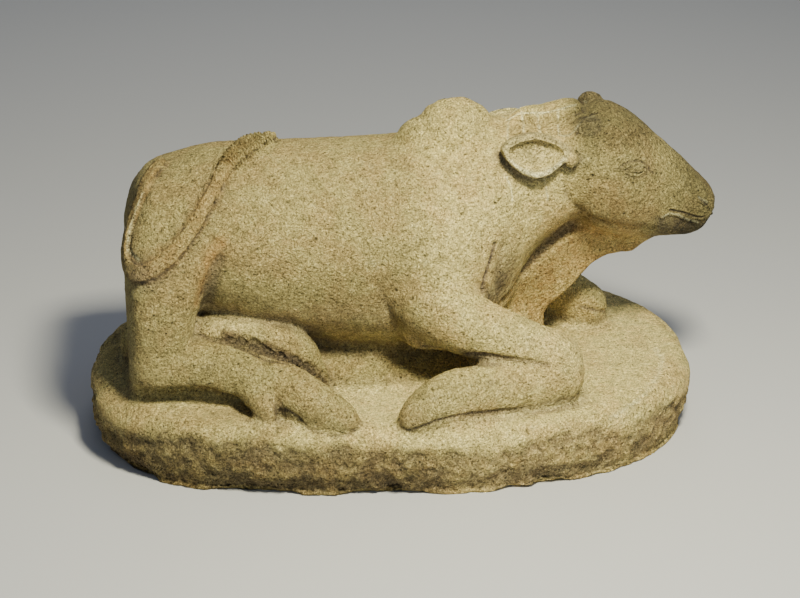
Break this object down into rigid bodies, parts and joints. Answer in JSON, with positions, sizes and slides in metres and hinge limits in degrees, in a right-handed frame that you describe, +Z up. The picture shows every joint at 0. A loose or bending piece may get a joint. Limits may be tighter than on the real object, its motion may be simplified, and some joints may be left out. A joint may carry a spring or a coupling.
{
  "type": "nandi bull figure",
  "caption": "Reclining humped bull carved in one block with its oval base: folded legs, tail drawn over the flank, dewlap, leaf ears and horn buds.",
  "frame": {"origin": "centre of the oval base's flat underside", "axes": "+X along the base toward the bull's head, +Y toward the bull's left flank, +Z up"},
  "size_m": [0.928, 0.5733, 0.4939],
  "materials": {
    "andesite": "weathered, fine grained, matt"
  },
  "bodies": {
    "root": {"nandi_bull_on_oval_base": "andesite"}
  },
  "joints": []
}
